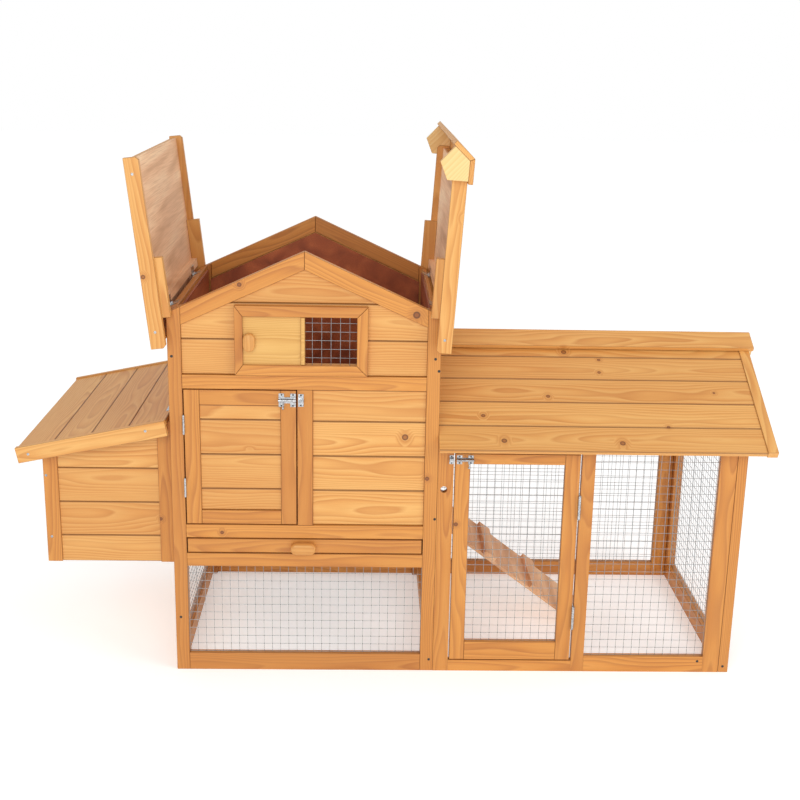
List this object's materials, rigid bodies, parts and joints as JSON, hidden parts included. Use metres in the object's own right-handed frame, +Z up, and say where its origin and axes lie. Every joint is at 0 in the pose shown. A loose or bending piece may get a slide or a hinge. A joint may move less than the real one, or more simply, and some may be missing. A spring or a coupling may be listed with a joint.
{
  "type": "chicken coop",
  "caption": "Timber chicken coop: raised house with an opening gable roof, hinged door, sliding window shutter, pull-out tray, lidded nest box and a roofed wire run with a ramp.",
  "frame": {"origin": "on the ground, under the middle of the whole coop as it stands with its roof panels open", "axes": "+X from the nest box towards the run, +Y from the front to the back, +Z up"},
  "size_m": [1.9952, 0.7866, 1.4414],
  "materials": {
    "fir": "honey stained fir, satin",
    "pale_fir": "bare pale fir",
    "red_ply": "dark red-brown stained plywood",
    "tan_ply": "raw plywood",
    "zinc": "zinc plated",
    "dark_steel": "dark screw heads"
  },
  "bodies": {
    "coop": {"house_posts": "fir", "house_cross_rails": "fir", "house_side_rails": "fir", "gable_rafters": "fir", "front_wall_boards": "fir", "back_wall_boards": "fir", "left_wall_boards": "fir", "right_wall_boards": "fir", "wall_lining": "red_ply", "roosting_perch": "fir", "window_frame": "fir", "window_mesh": "zinc", "lower_mesh_panels": "zinc", "nest_box_posts": "fir", "nest_box_boards": "fir", "nest_box_floor": "tan_ply", "nest_box_divider": "tan_ply", "run_front_frame": "fir", "run_end_frame": "fir", "run_back_frame": "fir", "run_front_mesh": "zinc", "run_end_mesh": "zinc", "run_back_mesh": "zinc", "run_rafters": "fir", "run_roof_boards": "fir", "run_roof_end_strips": "fir", "run_ridge_cap": "fir", "ramp_board": "tan_ply", "ramp_cleats": "tan_ply", "fixed_hinge_leaves": "zinc", "hinge_pins": "zinc", "bolt_keepers": "zinc", "frame_screws": "dark_steel"},
    "roof_left": {"roof_left_boards": "fir", "roof_left_lining": "tan_ply", "roof_left_frame": "fir", "roof_left_hinge_leaves": "zinc"},
    "roof_right": {"roof_right_boards": "fir", "roof_right_lining": "tan_ply", "roof_right_frame": "fir", "roof_right_hinge_leaves": "zinc", "house_ridge_cap": "fir"},
    "house_door": {"house_door_frame": "fir", "house_door_boards": "fir", "house_door_hinge_leaves": "zinc", "house_bolt_plate": "zinc"},
    "house_bolt": {"house_bolt_rod": "zinc"},
    "shutter": {"window_shutter": "pale_fir", "shutter_knob": "fir"},
    "tray": {"tray_front": "fir", "tray_pan": "zinc", "tray_handle": "fir"},
    "run_door": {"run_door_frame": "fir", "run_door_mesh": "zinc", "run_door_hinge_leaves": "zinc", "run_bolt_plate": "zinc"},
    "run_bolt": {"run_bolt_rod": "zinc"},
    "nest_lid": {"nest_lid_boards": "fir", "nest_lid_frame": "fir", "nest_lid_hinge_leaves": "zinc"}
  },
  "joints": [
    {"name": "roof_left_hinge", "type": "hinge", "parent": "coop", "child": "roof_left", "pos_m": [-0.60601, 0, 0.99556], "axis": [0, 1, 0], "range_deg": [0, 71.6]},
    {"name": "roof_right_hinge", "type": "hinge", "parent": "coop", "child": "roof_right", "pos_m": [0.09259, 0, 1.00228], "axis": [0, -1, 0], "range_deg": [0, 68.8]},
    {"name": "house_door_hinge", "type": "hinge", "parent": "coop", "child": "house_door", "pos_m": [-0.56295, -0.3432, 0.5], "axis": [0, 0, -1], "range_deg": [0, 110]},
    {"name": "house_bolt_slide", "type": "slide", "parent": "house_door", "child": "house_bolt", "axis": [1, 0, 0], "range_m": [0, 0.017]},
    {"name": "shutter_slide", "type": "slide", "parent": "coop", "child": "shutter", "axis": [1, 0, 0], "range_m": [0, 0.1327]},
    {"name": "tray_slide", "type": "slide", "parent": "coop", "child": "tray", "axis": [0, -1, 0], "range_m": [0, 0.46]},
    {"name": "run_door_hinge", "type": "hinge", "parent": "coop", "child": "run_door", "pos_m": [0.4799, -0.3442, 0.3], "axis": [0, 0, 1], "range_deg": [0, 110]},
    {"name": "run_bolt_slide", "type": "slide", "parent": "run_door", "child": "run_bolt", "axis": [-1, 0, 0], "range_m": [0, 0.017]},
    {"name": "nest_lid_hinge", "type": "hinge", "parent": "coop", "child": "nest_lid", "pos_m": [-0.60271, 0, 0.71679], "axis": [0, 1, 0], "range_deg": [0, 70]}
  ]
}
